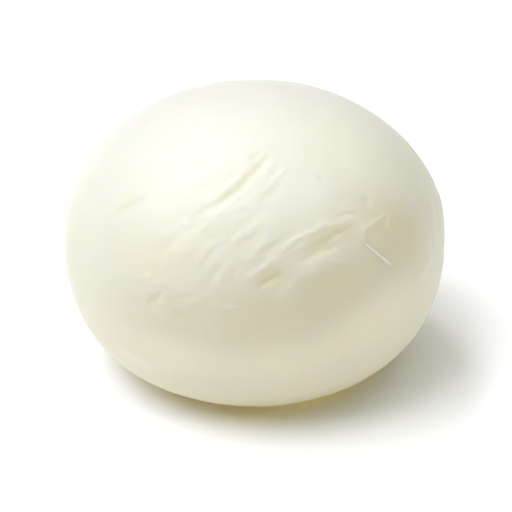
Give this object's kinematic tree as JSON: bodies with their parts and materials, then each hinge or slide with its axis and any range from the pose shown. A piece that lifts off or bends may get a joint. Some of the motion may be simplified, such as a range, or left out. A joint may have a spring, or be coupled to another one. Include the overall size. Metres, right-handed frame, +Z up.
{
  "type": "mozzarella ball",
  "caption": "Fresh mozzarella ball, a squat soft lump of pulled curd with creases and folds in its skin, resting on a flat underside.",
  "frame": {"origin": "middle of the flat underside, where the ball rests", "axes": "+Z up from the underside, the short way; +X along the ball's width, the long way; -Y the front, which carries the creases"},
  "size_m": [0.0666, 0.0645, 0.0489],
  "materials": {
    "curd": "moist, soft sheen, slightly translucent creamy white curd"
  },
  "bodies": {
    "root": {"mozzarella_ball": "curd"}
  },
  "joints": []
}
